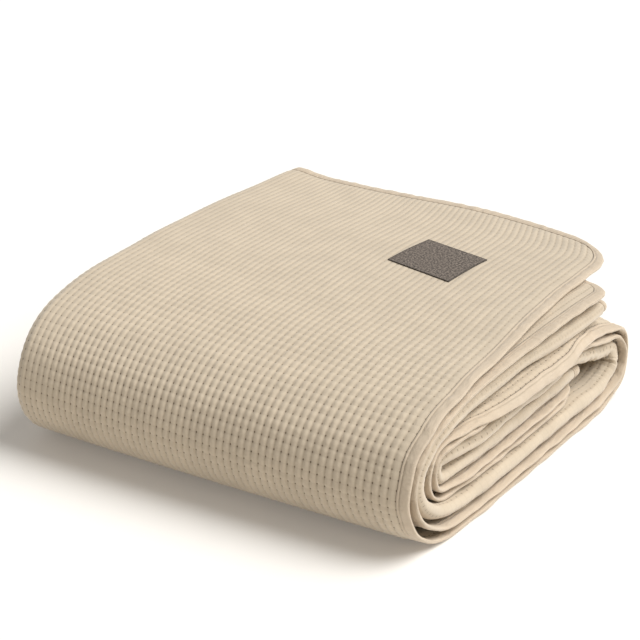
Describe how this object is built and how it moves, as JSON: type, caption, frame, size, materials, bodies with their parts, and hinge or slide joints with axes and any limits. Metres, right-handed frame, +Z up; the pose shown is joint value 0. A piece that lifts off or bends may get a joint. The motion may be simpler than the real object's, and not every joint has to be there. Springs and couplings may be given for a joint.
{
  "type": "folded quilted coverlet",
  "caption": "Fine-stitched quilted coverlet with a plain binding and a sewn-on label, folded lengthwise and laid in a neat flat roll for storage or display.",
  "frame": {"origin": "middle of the bounding box on the underside, where the folded coverlet rests", "axes": "+Z up, X along the bends of the folded strip with the layered side at +X, the rounded front bend at -Y and the free end on top at +Y"},
  "size_m": [0.611, 0.688, 0.1896],
  "materials": {
    "quilted_cloth": "matt brushed microfibre with a fine stitched grid",
    "binding_cloth": "matt smooth plain weave",
    "label_weave": "mottled woven label with a darker edge"
  },
  "bodies": {
    "root": {"quilted_panel": "quilted_cloth", "binding": "binding_cloth", "label": "label_weave"}
  },
  "joints": []
}
